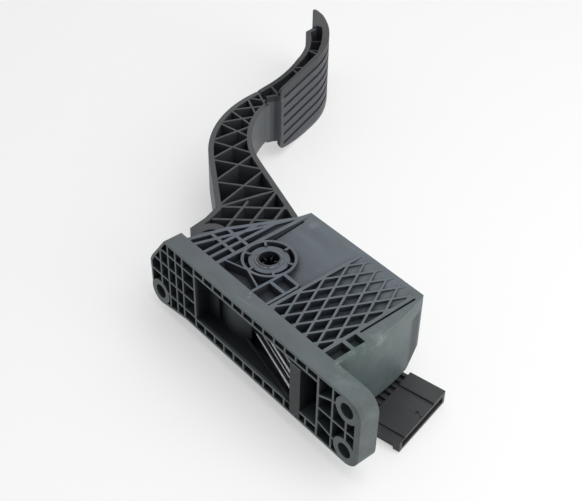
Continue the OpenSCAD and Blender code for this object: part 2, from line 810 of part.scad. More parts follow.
// Double torsion spring; its two legs are joined behind the post's slot
module spring(r, hook) {
    low = half_spring(r, hook, leg_z0, -1);
    high = half_spring(r, hook, leg_z1, 1);
    e = polar(r, leg_angle - 90, 0) + leg_len * [cos(leg_angle), sin(leg_angle), 0];
    color([0.75, 0.76, 0.78]) placed()
        wire(concat(low, [e + [0, 0, leg_z0 + 2.5], e + [0, 0, leg_z1 - 2.5]], flip(high)), wire_r);
}
module spring_inner() {
    spring(coil_in_r, 9);
}
module spring_outer() {
    spring(coil_out_r, 18.4);
}

// Rubber block that the arm rests on
module idle_stop() {
    slope_y = (71.6 - 81.9) / (54 - 26.9);
    x0 = 44.5;
    x1 = x0 + idle_len;
    color([0.07, 0.07, 0.07]) placed() translate([0, 0, arm_z0 + 6])
        linear_extrude(arm_z1 - arm_z0 - 10)
        polygon([[x0, inner_y], [x1, inner_y],
            [x1, 81.9 + slope_y * (x1 - 26.9) + 0.05], [x0, 81.9 + slope_y * (x0 - 26.9) + 0.05]]);
}

// Rubber plate on the flange that ends the travel
module full_travel_stop() {
    color([0.07, 0.07, 0.07]) placed() translate([-3.5, flange_t, arm_z0 + 2])
        cube([11, full_stop_t, arm_z1 - arm_z0 - 11]);
}

// Cup that carries the magnet in the lower end of the shaft
module magnet_holder() {
    color([0.12, 0.12, 0.13]) placed() at_pivot(0) difference() {
        union() {
            translate([0, 0, -0.9]) cylinder(h = 1.9, r = shaft_r - 0.3);
            translate([0, 0, 0.9]) cylinder(h = 5, r = core_r - push_gap);
        }
        translate([0, 0, -2]) cylinder(h = 4, r = magnet_r + 0.05);
    }
}

// Round magnet
module sensor_magnet() {
    color([0.5, 0.5, 0.52]) placed() at_pivot(-0.9) cylinder(h = 2.8, r = magnet_r);
}

// Distance from the cover's outline to the edge of the board
board_edge = 11;

// Places of the four posts under the board
module at_posts() {
    for (x = [cover_x0 + 15, cover_x1 - 23]) for (y = [cover_y0 + 15, cover_y1 - 15])
        translate([x, y, 0]) children();
}

// Circuit board
module circuit_board() {
    z0 = board_z - board_t;
    color([0.05, 0.25, 0.12]) placed() difference() {
        translate([cover_x0 + board_edge, cover_y0 + board_edge, z0])
            cube([cover_x1 - cover_x0 - 2 * board_edge, cover_y1 - cover_y0 - 2 * board_edge,
                board_t]);
        at_posts() translate([0, 0, z0 - 1]) cylinder(h = 4, r = 1.3);
    }
}

// Sensor chip, d from the pivot axis
module hall_sensor(d) {
    color([0.05, 0.05, 0.05]) placed()
        translate([pivot_x + d - 1.2, pivot_y - 2, board_z]) cube([2.4, 4, 1.1]);
}
module hall_sensor_1() {
    hall_sensor(-1.6);
}
module hall_sensor_2() {
    hall_sensor(1.6);
}

// Puts a shape into the plug's own frame: u out of the mouth, w across
module at_plug() {
    translate([plug_root[0], plug_root[1], 0]) rotate(plug_angle) children();
}

// Middle height of the plug's mouth
mouth_z = cover_z + 1.5 + mouth_h / 2;

// How far the terminals' feet lie behind the end wall
foot_u = plug_root[0] - cover_x1 + board_edge + 6.5;
// End of the hollow that leads from the cover into the plug shell
hollow_u = 7;

// Terminal blade with its upright foot on the board
module terminal(k) {
    w = (k - 2.5) * pin_pitch;
    color([0.78, 0.72, 0.5]) placed() at_plug() {
        translate([-foot_u, w - pin_w / 2, mouth_z - pin_t / 2])
            cube([foot_u + plug_len - pin_recess, pin_w, pin_t]);
        translate([-foot_u, w - 0.5, mouth_z]) cube([1, 1, board_z - board_t - mouth_z]);
    }
}
module terminal_1() {
    terminal(0);
}
module terminal_2() {
    terminal(1);
}
module terminal_3() {
    terminal(2);
}
module terminal_4() {
    terminal(3);
}
module terminal_5() {
    terminal(4);
}
module terminal_6() {
    terminal(5);
}

// Rectangle with rounded corners, d inside the outline of the cover
module cover_outline(d) {
    r = 6 - d;
    w = cover_x1 - cover_x0 - 2 * d;
    h = cover_y1 - cover_y0 - 2 * d;
    translate([cover_x0 + d, cover_y0 + d]) {
        translate([r, 0]) square([w - 2 * r, h]);
        translate([0, r]) square([w, h - 2 * r]);
        for (x = [r, w - r]) for (y = [r, h - r]) translate([x, y]) circle(r);
    }
}

// Rubber seal in the rim of the cover
module cover_seal() {
    color([0.04, 0.04, 0.04]) placed() translate([0, 0, -0.8]) linear_extrude(0.8) difference() {
        cover_outline(0.9);
        cover_outline(2.3);
    }
}

// Body of the plug shell: panel, high rail on the far side, low strip on the near side
module plug_body() {
    half = plug_w / 2;
    panel = plug_top - 1;
    at_plug() {
        difference() {
            union() {
                translate([-21, -half, cover_z]) cube([plug_len + 21, plug_w, panel - cover_z]);
                translate([-3, half - 11.4, cover_z])
                    cube([plug_len + 3, 11.4, plug_top - cover_z]);
                translate([plug_len - 1.9, -0.8, panel - eps]) cube([1.4, 2.4, 0.5 + eps]);
            }
            translate([-22, -half - 1, panel - 0.9]) cube([plug_len + 30, 5.4, 3]);
            translate([-6, -half - 1, cover_z - 1]) cube([28.3, 2.2, 6.9]);
            translate([-6, -12, panel - 1.9]) cube([10, half + 13, 8]);
            translate([plug_len - 4.3, 0, panel - 0.6]) cylinder(h = 2, r = 1.2);
        }
        for (w = [-6.8 : 5 : 18.2]) translate([-5, w, panel - 2]) cube([9.2, 1.9, 1.9]);
    }
}

// Sensor cover with the plug shell in one moulding
module sensor_cover() {
    half = plug_w / 2;
    z_in = cover_z + cover_floor;
    color([0.06, 0.06, 0.065]) placed() difference() {
        union() {
            difference() {
                union() {
                    translate([0, 0, cover_z]) linear_extrude(-cover_z) cover_outline(0);
                    plug_body();
                }
                translate([0, 0, z_in]) linear_extrude(20) cover_outline(cover_wall);
                at_plug() translate([-20, 3 - half, cover_z + 1.5])
                    cube([20 + hollow_u, plug_w - 6, mouth_h / 2 + pin_t / 2 + 0.4]);
                at_plug() translate([plug_len - mouth_depth, 2.2 - half, cover_z + 1.5])
                    cube([mouth_depth + 1, plug_w - 4.4, mouth_h]);
            }
            at_screws() translate([0, 0, cover_z]) cylinder(h = -cover_z, r = 4);
            at_posts() translate([0, 0, z_in - eps])
                cylinder(h = board_z - board_t - z_in + eps, r = 2.2);
        }
        translate([0, 0, -0.8]) linear_extrude(2) difference() {
            cover_outline(0.85);
            cover_outline(2.35);
        }
        at_screws() translate([0, 0, cover_z - 1]) cylinder(h = 20, r = 1.8);
        at_screws() translate([0, 0, cover_z - 1]) cylinder(h = 3.5, r = 3.2);
        for (k = [0 : 5]) at_plug() translate([hollow_u - 1, (k - 2.5) * pin_pitch - pin_w / 2
            - 0.05, mouth_z - pin_t / 2 - 0.05])
            cube([plug_len - mouth_depth - hollow_u + 3, pin_w + 0.1, pin_t + 0.1]);
    }
}

// Self-tapping screw of the cover with a six-pointed socket
module cover_screw(i) {
    color([0.55, 0.56, 0.58]) placed() translate(screw_at(i)) {
        difference() {
            translate([0, 0, cover_z + 0.4]) cylinder(h = 2.1, r = 3);
            translate([0, 0, cover_z - 1]) for (a = [0 : 60 : 120]) rotate(a)
                translate([-1.5, -0.45, 0]) cube([3, 0.9, 2.6]);
        }
        translate([0, 0, cover_z + 2.4]) cylinder(h = 5.7 - cover_z - 2.4, r = 1.45);
    }
}
module cover_screw_1() {
    cover_screw(0);
}
module cover_screw_2() {
    cover_screw(1);
}
module cover_screw_3() {
    cover_screw(2);
}
module cover_screw_4() {
    cover_screw(3);
}

housing();
pedal_arm();
pivot_shaft();
bush_upper();
bush_lower();
spring_inner();
spring_outer();
idle_stop();
full_travel_stop();
magnet_holder();
sensor_magnet();
circuit_board();
hall_sensor_1();
hall_sensor_2();
terminal_1();
terminal_2();
terminal_3();
terminal_4();
terminal_5();
terminal_6();
cover_seal();
sensor_cover();
cover_screw_1();
cover_screw_2();
cover_screw_3();
cover_screw_4();
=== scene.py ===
"""Dresses the accelerator pedal module.

Moulded plastics, spring wire, rubber and metal, on a pale studio floor.
"""

import json

import bpy
import numpy as np
from mathutils import Matrix, Vector


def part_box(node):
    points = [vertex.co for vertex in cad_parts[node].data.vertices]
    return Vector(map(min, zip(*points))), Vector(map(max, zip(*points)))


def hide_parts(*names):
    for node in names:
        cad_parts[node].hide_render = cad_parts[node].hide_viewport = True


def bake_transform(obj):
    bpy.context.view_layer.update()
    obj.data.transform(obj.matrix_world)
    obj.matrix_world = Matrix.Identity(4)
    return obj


bl_info = {
    "name": "Accelerator pedal dresser",
    "version": (1, 0, 0),
    "blender": (4, 5, 0),
    "location": "View3D > Sidebar > Pedal",
    "description": "Gives the pedal's pieces their finish and sets the studio",
    "category": "Object",
}

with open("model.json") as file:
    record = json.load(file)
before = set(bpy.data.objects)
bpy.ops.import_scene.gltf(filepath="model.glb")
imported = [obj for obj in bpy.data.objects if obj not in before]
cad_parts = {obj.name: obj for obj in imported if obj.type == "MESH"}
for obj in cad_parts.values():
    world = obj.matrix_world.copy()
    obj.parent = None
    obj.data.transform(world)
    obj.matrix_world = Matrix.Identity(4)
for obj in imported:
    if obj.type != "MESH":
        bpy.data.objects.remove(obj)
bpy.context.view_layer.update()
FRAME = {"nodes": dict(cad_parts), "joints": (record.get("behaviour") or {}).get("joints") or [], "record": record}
NODES = FRAME["nodes"]
SLOTS = {m["slot"]: m for m in FRAME["record"]["materials"]}
HINGE = FRAME["joints"][0]
MM = 0.001

# Rubbed and pale spots of the housing: place and radius in millimetres, strength
RUBS = (((136.6, 20, 41), 6, 0.55), ((136.2, 30, 40.5), 5, 0.6), ((135.6, 41, 39), 9, 0.5),
        ((138, 12.5, 41.5), 4.5, 0.8), ((147, 9, 41.5), 12, 0.35), ((163, 7, 34), 13, 0.3),
        ((166.5, 6, 18), 12, 0.15), ((71.5, 8.2, 41.5), 1.8, 0.6), ((47, 74, 40.5), 5, 0.3))

# Light flecks: place and radius in millimetres
FLECKS = (((42.7, 0, 34.9), 0.7), ((50.4, 1, 36.2), 0.5), ((69.6, 10.4, 41.5), 0.5))

# Painted light and shade on the housing: boxes that darken the window's inside, its ledge and post, and parts of
# the flange and end wall, and lighten the top faces and the end wall's upper part; a box's two corners and soft
# border in millimetres, tone
HOUSING_PAINTED_LIGHT_AND_SHADE = (((14, 9.4, -3), (131, 78, 32), 0.6, (0.38, 0.38, 0.41)),
                 ((29.5, 1.6, 2), (113, 9.4, 33), 0.8, (0.2, 0.2, 0.23)),
                 ((111, -1, -3), (122.7, 13, 33), 0.6, (0.2, 0.2, 0.2)),
                 ((10, 12, 34), (118, 90, 45), 8, (1.08, 1.09, 1.2)),
                 ((-6, 9, 24), (82, 60, 50), 8, (0.93, 0.89, 0.94)),
                 ((-20, -5, 38), (30, 14, 45), 8, (0.82, 0.82, 0.83)),
                 ((131, 9.4, 24), (155, 80, 60), 8, (1.1, 1.16, 1.08)),
                 ((131, 9.4, -20), (155, 80, 17), 10, (0.66, 0.75, 0.7)),
                 ((131, 9.4, -20), (155, 36, 60), 8, (0.66, 0.74, 0.72)),
                 ((161, -5, -20), (175, 20, 60), 4, (0.78, 0.78, 0.75)),
                 ((159, -3, 35.5), (166, 12, 41), 2.5, (0.7, 0.71, 0.7)))

# The box about the foot pad, in millimetres
PAD = ((-150, 151, -12), (-66, 260, 50))
# Painted shade on the arm: the pad's face and top, its heel wall and the step above the heel made darker where
# shade falls; a box's two corners and soft border in millimetres, tone
ARM_PAINTED_SHADE = ((*PAD, 1.0, (0.58, 0.565, 0.62)),
             ((-150, 150, 33), (-66, 222, 50), 1.5, (0.6, 0.6, 0.6)),
             ((-80, 145, -20), (-66, 150.5, 60), 3.5, (0.55, 0.56, 0.62)),
             ((-78, 147, -12), (-71, 151, 50), 1.2, (0.4, 0.41, 0.46)),
             ((-80, 141, 32.5), (-73.6, 150, 50), 1.0, (0.14, 0.14, 0.16)))

# Painted shade in the shaft's hollow, dark as a deep hole: a box's two corners and soft border in millimetres,
# tone
SHAFT_PAINTED_SHADE = (((48.4, 30.4, 0), (59.8, 41.8, 37), 1.2, (0.3, 0.3, 0.34)),)

# Lighter ring at the mouth of the bearing: its two radii about the pivot, in millimetres
PALE_LIP = (6.8, 7.5)

# Hook radii of the two springs, inside the inner coil and outside the outer one
INNER_HOOK = 9 * MM
OUTER_HOOK = 18.4 * MM

# Halves of a spring: end of its name, height of its leg, way to its hook
SPRING_HALVES = (("_wire_lower", 8.5 * MM, -1), ("_wire_upper", 20 * MM, 1))

# Middle height of a spring's bridge, its corner radius, and the legs' slope in degrees
BRIDGE = 14.25 * MM
BRIDGE_BEND = 2.2 * MM
LEG_SLOPE = -15.5

# The hook's bend into its coil: how far from the coil two of its points lie, and how far
# round from the hook, in radians, the second of them and the coil's first point lie
HOOK_STEPS = (1.7 * MM, 0.55 * MM)
HOOK_TURN = 0.035
COIL_LEAD = 0.14

# Points along a coil, a leg and the bridge's corner
COIL_POINTS = 90
LEG_POINTS = 24
CORNER_POINTS = 9

# Sides of the wire's tube, the upward tilt of its first side, and its UV units in a metre
WIRE_SIDES = 14
WIRE_TILT = 0.4
WIRE_UNITS = 20

# Facets that meet at a smaller angle than this, in degrees, are shaded as one curved face
SMOOTH_UNDER = 8

# Corners closer than this become one before that
MERGE_UNDER = 0.002 * MM

# Light of the studio's walls and ceiling
SKY = (0.407, 0.414, 0.42)

# Lamps: name, place and size in metres, power in watts; all look at one point
LAMPS = (("key", (0.45, 0.2, 1.1), 1.0, 6.4),
         ("side", (1.1, 0.3, 0.45), 0.8, 5.4),
         ("back", (-0.6, 0.9, 0.8), 0.9, 1.6))
LAMP_AIM = (0.02, 0.09, 0)

# Floor: half its width in metres and its play under the part
FLOOR_REACH = 6.0
FLOOR_PLAY = 0.05 * MM

# It fades into the backdrop away from a place, by a radius, both in millimetres
FLOOR_FADE = ((0, 100, 0), 1400)

# As the camera sees it: its share of colour under the part, and its glow there and far off
FLOOR_SHARE = 0.6
FLOOR_GLOW = (0.46, 0.92)

# The fitted camera: focal length and sensor in millimetres, azimuth, elevation and roll in
# degrees, the point it looks at and its distance from it in metres
LENS = 68.305
SENSOR = 36
CAMERA_TURNS = (48.95, 40.14, 1.29)
CAMERA_TARGET = (0.01545, 0.08528, -0.0045)
CAMERA_DISTANCE = 0.67497


def slot_colour(slot):
    """The record's colour of a material slot, as the default of a colour property."""
    return tuple(SLOTS[slot]["base_color"][:3])


class PedalColours(bpy.types.PropertyGroup):
    """Colours of the finishes."""

    housing: bpy.props.FloatVectorProperty(
        name="Housing", description="Glass-filled nylon of the flange and housing",
        subtype="COLOR", size=3, min=0, max=1, default=(0.097, 0.115, 0.121))
    arm: bpy.props.FloatVectorProperty(
        name="Arm", description="Glass-filled nylon of the arm and foot pad",
        subtype="COLOR", size=3, min=0, max=1, default=(0.09, 0.097, 0.101))
    cover: bpy.props.FloatVectorProperty(
        name="Cover", description="Black plastic of the sensor cover and plug shell",
        subtype="COLOR", size=3, min=0, max=1, default=slot_colour("cover_plastic"))
    shaft: bpy.props.FloatVectorProperty(
        name="Shaft", description="Plastic of the pivot shaft",
        subtype="COLOR", size=3, min=0, max=1, default=(0.048, 0.053, 0.064))
    wire: bpy.props.FloatVectorProperty(
        name="Spring wire", description="Drawn steel wire of the return springs",
        subtype="COLOR", size=3, min=0, max=1, default=(0.37, 0.38, 0.39))
    floor: bpy.props.FloatVectorProperty(
        name="Floor", description="Pale studio floor",
        subtype="COLOR", size=3, min=0, max=1, default=(0.93, 0.93, 0.925))


class PedalSizes(bpy.types.PropertyGroup):
    """Sizes of the pieces that are made here."""

    wire_radius: bpy.props.FloatProperty(
        name="Wire radius", description="Radius of the wire of both springs",
        subtype="DISTANCE", unit="LENGTH", default=1.1 * MM)
    inner_radius: bpy.props.FloatProperty(
        name="Inner coil", description="Mean radius of the inner spring's coils",
        subtype="DISTANCE", unit="LENGTH", default=13 * MM)
    outer_radius: bpy.props.FloatProperty(
        name="Outer coil", description="Mean radius of the outer spring's coils",
        subtype="DISTANCE", unit="LENGTH", default=15.6 * MM)
    turns: bpy.props.FloatProperty(
        name="Turns", description="Turns in each of a spring's two coils", default=2.1)
    pitch: bpy.props.FloatProperty(
        name="Pitch", description="Rise of one turn",
        subtype="DISTANCE", unit="LENGTH", default=2.48 * MM)
    leg: bpy.props.FloatProperty(
        name="Leg", description="Length of a spring's straight legs",
        subtype="DISTANCE", unit="LENGTH", default=67 * MM)
    edge: bpy.props.FloatProperty(
        name="Edge rounding", description="Radius at which the moulded edges catch the light",
        subtype="DISTANCE", unit="LENGTH", default=0.35 * MM)
    # Painted shade: pockets narrower than this reach are darkened
    shade_reach: bpy.props.FloatProperty(
        name="Shade reach", description="Pockets narrower than this keep their dark moulded tone",
        subtype="DISTANCE", unit="LENGTH", default=24 * MM)


class Sock:
    """A number socket of a material; Python's operators on it add Math nodes."""

    def __init__(self, tree, socket):
        self.tree = tree
        self.socket = socket

    def math(self, operation, *others, clamp=False):
        """One Math node with this socket first."""
        node = self.tree.node("Math", {"operation": operation, "use_clamp": clamp},
                              [self, *others])
        return Sock(self.tree, node.outputs[0])

    def __add__(self, other):
        return self.math("ADD", other)

    def __radd__(self, other):
        return self.math("ADD", other)

    def __sub__(self, other):
        return self.math("SUBTRACT", other)

    def __rsub__(self, other):
        return self.tree.number(other).math("SUBTRACT", self)

    def __mul__(self, other):
        return self.math("MULTIPLY", other)

    def __rmul__(self, other):
        return self.math("MULTIPLY", other)

    def clamp(self):
        """This value kept between 0 and 1."""
        return self.math("ADD", 0.0, clamp=True)

    def ramp(self, low, high, out_low=0.0, out_high=1.0):
        """This value mapped smoothly from low..high to out_low..out_high."""
        node = self.tree.node("MapRange", {"interpolation_type": "SMOOTHSTEP"},
                              {"Value": self, "From Min": low, "From Max": high,
                               "To Min": out_low, "To Max": out_high})
        return Sock(self.tree, node.outputs[0])


class Tree:
    """A node tree whose nodes are all made by one method."""

    def __init__(self, tree, family="ShaderNode"):
        self.nodes = tree.nodes
        self.links = tree.links
        self.family = family
        self.nodes.clear()

    def node(self, kind, settings, inputs):
        """Adds a node: its type, its settings, then the values or links of its sockets."""
        made = self.nodes.new(self.family + kind)
        for key, value in settings.items():
            setattr(made, key, value)
        pairs = inputs.items() if isinstance(inputs, dict) else enumerate(inputs)
        for key, value in pairs:
            self.feed(made.inputs[key], value)
        return made

    def feed(self, socket, value):
        """Links a socket, or writes a plain number or colour into it."""
        if isinstance(value, Sock):
            value = value.socket
        if isinstance(value, bpy.types.NodeSocket):
            self.links.new(value, socket)
        elif isinstance(value, (tuple, list)) and len(value) < len(socket.default_value):
            socket.default_value = (*value, 1)
        else:
            socket.default_value = value

    def number(self, value):
        """A constant as a socket, for what stands left of a minus."""
        node = self.node("Value", {}, {})
        node.outputs[0].default_value = value
        return Sock(self, node.outputs[0])

    def mix(self, factor, a, b):
        """Colour a to colour b by a factor."""
        made = self.node("Mix", {"data_type": "RGBA"}, {})
        self.feed(made.inputs[0], factor)
        self.feed(made.inputs[6], a)
        self.feed(made.inputs[7], b)
        return made.outputs[2]

    def times(self, colour, tone):
        """A colour socket times a fixed tone."""
        made = self.node("VectorMath", {"operation": "MULTIPLY"}, [colour, tone])
        return made.outputs[0]

    def shown(self):
        """1 for what the camera sees, straight or in gloss and glass, 0 for scattered light."""
        path = self.node("LightPath", {}, {})
        camera, gloss, glass = [Sock(self, path.outputs["Is %s Ray" % kind])
                                for kind in ("Camera", "Glossy", "Transmission")]
        return (camera + gloss + glass).clamp()


class Finish(Tree):
    """A new material, with the surface's own place at hand."""

    def __init__(self, name):
        self.material = bpy.data.materials.new(name)
        self.material.use_nodes = True
        super().__init__(self.material.node_tree)
        self.shader = self.node("BsdfPrincipled", {}, {})
        self.node("OutputMaterial", {}, [self.shader.outputs[0]])
        self.place = self.node("TexCoord", {}, {}).outputs["Object"]

    def noise(self, scale, detail=3.0, roughness=0.55, stretch=(1, 1, 1), distortion=0.0):
        """Noise in the object's own place; scale is in cells a metre."""
        where = self.node("Mapping", {}, {"Vector": self.place, "Scale": stretch})
        made = self.node("TexNoise", {}, {"Vector": where.outputs[0], "Scale": scale,
                                          "Detail": detail, "Roughness": roughness,
                                          "Distortion": distortion})
        return Sock(self, made.outputs[0])

    def cells(self, scale):
        """Distance pattern of scattered cells."""
        made = self.node("TexVoronoi", {}, {"Vector": self.place, "Scale": scale})
        return Sock(self, made.outputs["Distance"])

    def rounded(self, radius, samples=4):
        """Normal of the surface as if its edges were rounded."""
        return self.node("Bevel", {"samples": samples}, {"Radius": radius}).outputs[0]

    def edges(self, radius):
        """1 along the sharp edges, 0 on flats: how far the rounded normal leaves the real one."""
        flat = self.node("NewGeometry", {}, {}).outputs["Normal"]
        dot = self.node("VectorMath", {"operation": "DOT_PRODUCT"},
                        [self.rounded(radius), flat])
        return (1.0 - Sock(self, dot.outputs["Value"])).ramp(0.01, 0.16)

    def near(self, centre, radius):
        """1 at a point, fading to 0 at a radius from it; both in millimetres."""
        far = self.node("VectorMath", {"operation": "DISTANCE"},
                        [self.place, [c * MM for c in centre]])
        return Sock(self, far.outputs["Value"]).ramp(radius * MM, radius * 0.2 * MM)

    def within(self, low, high, soft=0.6):
        """1 inside a box, 0 outside; its corners and its soft border are in millimetres."""
        share = None
        for axis in range(3):
            at = Sock(self, self.node("SeparateXYZ", {}, [self.place]).outputs[axis])
            part = (at.ramp((low[axis] - soft) * MM, (low[axis] + soft) * MM)
                    * at.ramp((high[axis] + soft) * MM, (high[axis] - soft) * MM))
            share = part if share is None else share * part
        return share

    def ring(self, low, high, soft=0.25):
        """1 between two radii about the pivot's axis; all in millimetres."""
        flat = self.node("VectorMath", {"operation": "MULTIPLY"}, [self.place, (1, 1, 0)])
        foot = (HINGE["pos_m"][0], HINGE["pos_m"][1], 0)
        far = self.node("VectorMath", {"operation": "DISTANCE"}, [flat.outputs[0], foot])
        out = Sock(self, far.outputs["Value"])
        return (out.ramp((low - soft) * MM, (low + soft) * MM)
                * out.ramp((high + soft) * MM, (high - soft) * MM))

    def exposed(self, reach, low, high, samples=6):
        """1 where the surface lies open, 0 deep in a pocket of the same piece."""
        made = self.node("AmbientOcclusion", {"samples": samples, "only_local": True},
                         {"Distance": reach})
        return Sock(self, made.outputs["AO"]).ramp(low, high)

    def upward(self):
        """1 on faces that look along the pivot axis, away from the sensor, 0 on the others."""
        normal = self.node("NewGeometry", {}, {}).outputs["Normal"]
        return Sock(self, self.node("SeparateXYZ", {}, [normal]).outputs[2]).ramp(0.6, 0.9)

    def bump(self, height, distance, normal=None):
        """Bump of a height, where 1 stands for the distance in metres."""
        inputs = {"Height": height, "Distance": distance}
        if normal is not None:
            inputs["Normal"] = normal
        return self.node("Bump", {}, inputs).outputs[0]

    def surface(self, **inputs):
        """Writes the shader's own sockets; an underscore stands for a space."""
        for key, value in inputs.items():
            self.feed(self.shader.inputs[key.replace("_", " ")], value)
        return self.material


def tint(colour, gain, shift=(1, 1, 1)):
    """A colour made lighter or darker, with a shift of its three parts."""
    return tuple(min(1.0, c * gain * s) for c, s in zip(colour, shift))


def moulded(name, colour, edge, rough=0.5, wear=0.5, grain=1.0, dust=0.3, reach=0.0,
            deep=0.25, open_at=(0.5, 0.92), top_shade=1.0, rubs=(), flecks=(), painted_light_shade=(), shade_lifted=None,
            lip=None):
    """Filled plastic from a spark-eroded mould.

    Grain, flow clouds, pale rubbed edges and fine scratches. Pockets narrower than reach carry
    painted shade that darkens them to the deep tone, between the two shares of open sky in
    open_at; top_shade is the painted shade of the faces that look along the pivot axis; rubs
    and flecks are single pale spots, painted_light_shade are boxes of painted light and shade
    that make their faces lighter or darker, shade_lifted is a box whose grooves get less of
    the painted shade, and lip is a lighter ring about the pivot.
    """
    m = Finish(name)
    clouds = m.noise(28, 4, 0.6).ramp(0.3, 0.72)
    streaks = m.noise(160, 3, 0.6, (0.25, 1, 1)).ramp(0.35, 0.7)
    fine = m.noise(2600, 2, 0.6)
    pits = m.cells(1500)
    base = m.mix(clouds, tint(colour, 0.86), tint(colour, 1.1, (1.0, 1.01, 1.015)))
    base = m.mix(streaks * 0.4, base, tint(colour, 1.3))
    # Painted shade: faces that look along the pivot axis are made darker
    if top_shade < 1:
        base = m.mix(m.upward(), base, tint(colour, top_shade))
    specks = m.noise(900, 2, 0.7).ramp(0.7, 0.8)
    base = m.mix(specks * dust, base, tint(colour, 2.1))
    rub = m.noise(240, 4, 0.65).ramp(0.42, 0.62)
    base = m.mix(m.edges(edge * 1.4) * rub * wear, base, tint(colour, 2.6, (1.0, 1.0, 0.99)))
    scratch = m.noise(420, 2, 0.5, (0.06, 1, 0.6), 0.4).ramp(0.66, 0.72)
    patch = m.noise(45, 2, 0.5).ramp(0.5, 0.66)
    base = m.mix(scratch * patch * 0.3, base, tint(colour, 2.2))
    for centre, radius, strength in rubs:
        blot = m.near(centre, radius) * m.noise(1400 / radius, 4, 0.7).ramp(0.4, 0.66)
        base = m.mix(blot * strength, base, tint(colour, 2.5, (1.02, 1.0, 0.96)))
    for centre, radius in flecks:
        base = m.mix(m.near(centre, radius), base, (0.5, 0.52, 0.52))
    # Painted shade: pockets, by their open share of sky, are darkened towards the deep tone; less so inside the
    # pad's box
    dark = tint(colour, deep, (0.95, 0.97, 1.05))
    if reach:
        bare = m.exposed(reach, *open_at)
        if shade_lifted:
            bare = (bare + m.within(*shade_lifted) * 0.72).clamp()
        base = m.mix(bare, dark, base)
    # Painted light and shade: each box makes its faces lighter or darker by its tone
    for low, high, soft, tone in painted_light_shade:
        base = m.mix(m.within(low, high, soft), base, m.times(base, tone))
    if lip:
        chips = m.noise(700, 3, 0.7).ramp(0.42, 0.58)
        base = m.mix(m.ring(*lip) * chips * 0.75, base, (0.25, 0.27, 0.31))
    height = fine * 0.55 + pits * 0.45
    normal = m.bump(height, 0.00006 * grain, m.rounded(edge))
    roughness = rough + (fine - 0.5) * 0.16 + (clouds - 0.5) * 0.07
    return m.surface(Base_Color=base, Roughness=roughness, Normal=normal,
                     Specular_IOR_Level=0.36)


def spring_wire(name, colour):
    """Drawn steel wire: bright, with fine lengthwise die marks and a thin film of grease."""
    m = Finish(name)
    uv = m.node("UVMap", {"uv_map": "along"}, {}).outputs[0]
    where = m.node("Mapping", {}, {"Vector": uv, "Scale": (1, 140, 1)})
    marks = Sock(m, m.node("TexNoise", {}, {"Vector": where.outputs[0], "Scale": 1.0,
                                            "Detail": 4.0}).outputs[0])
    film = m.noise(350, 3).ramp(0.45, 0.65)
    base = m.mix(film * 0.5, colour, tint(colour, 0.62))
    rough = 0.26 + marks * 0.12 + film * 0.12
    return m.surface(Base_Color=base, Metallic=1.0, Roughness=rough,
                     Normal=m.bump(marks, 0.00002))


def rubber(name, colour):
    """Moulded black rubber, dull, with a soft bloom."""
    m = Finish(name)
    bloom = m.noise(90, 4, 0.6).ramp(0.4, 0.7)
    fine = m.noise(1800, 2)
    base = m.mix(bloom * 0.4, colour, tint(colour, 2.4))
    return m.surface(Base_Color=base, Roughness=0.72 + (fine - 0.5) * 0.2,
                     Normal=m.bump(fine, 0.00005))


def plated(name, colour, rough=0.32):
    """Plated metal with a slightly uneven film."""
    m = Finish(name)
    cloud = m.noise(500, 3).ramp(0.3, 0.7)
    base = m.mix(cloud, tint(colour, 0.85), tint(colour, 1.1))
    return m.surface(Base_Color=base, Metallic=1.0, Roughness=rough + (cloud - 0.5) * 0.14,
                     Normal=m.bump(m.noise(2400, 2), 0.00001))


def sintered(name, colour):
    """Sintered magnet, dark and finely pitted."""
    m = Finish(name)
    pits = m.cells(2200)
    base = m.mix(pits.ramp(0.1, 0.5), tint(colour, 0.7), colour)
    return m.surface(Base_Color=base, Metallic=0.6, Roughness=0.5 + pits * 0.2,
                     Normal=m.bump(pits, 0.00003))


def board_resist(name, colour):
    """Green resist over copper tracks, which show as a faint raised pattern."""
    m = Finish(name)
    tracks = m.node("TexBrick", {"offset": 0.5}, {"Vector": m.place, "Scale": 260.0,
                                                  "Mortar Size": 0.05}).outputs["Fac"]
    track = Sock(m, tracks)
    base = m.mix(track, colour, tint(colour, 1.7, (1.0, 1.1, 0.9)))
    return m.surface(Base_Color=base, Roughness=0.28 + m.noise(600) * 0.1,
                     Normal=m.bump(track, 0.00004))


def smooth_curves():
    """Node group that shades facets meeting at a small angle as one curved face."""
    group = bpy.data.node_groups.new("smooth_curves", "GeometryNodeTree")
    for way in ("INPUT", "OUTPUT"):
        group.interface.new_socket("Geometry", in_out=way, socket_type="NodeSocketGeometry")
    t = Tree(group, "")
    mesh = t.node("NodeGroupInput", {}, {}).outputs[0]
    merged = t.node("GeometryNodeMergeByDistance", {},
                    {"Geometry": mesh, "Distance": MERGE_UNDER})
    bare = t.node("GeometryNodeRemoveAttribute", {},
                  {"Geometry": merged.outputs[0], "Name": "custom_normal"})
    smooth = t.node("GeometryNodeSetShadeSmooth", {"domain": "FACE"},
                    {"Geometry": bare.outputs[0], "Shade Smooth": True})
    angle = t.node("GeometryNodeInputMeshEdgeAngle", {}, {}).outputs["Unsigned Angle"]
    sharp = t.node("FunctionNodeCompare", {"data_type": "FLOAT", "operation": "GREATER_THAN"},
                   [angle, float(np.radians(SMOOTH_UNDER))])
    crisp = t.node("GeometryNodeSetShadeSmooth", {"domain": "EDGE"},
                   {"Geometry": smooth.outputs[0], "Selection": sharp.outputs[0],
                    "Shade Smooth": False})
    t.node("NodeGroupOutput", {}, [crisp.outputs[0]])
    return group


def dress(names, material):
    """Gives CAD nodes one material, and their curved faces smooth shading."""
    group = bpy.data.node_groups.get("smooth_curves") or smooth_curves()
    for name in names:
        slots = NODES[name].data.materials
        slots.clear()
        slots.append(material)
        NODES[name].modifiers.new("smooth_curves", "NODES").node_group = group


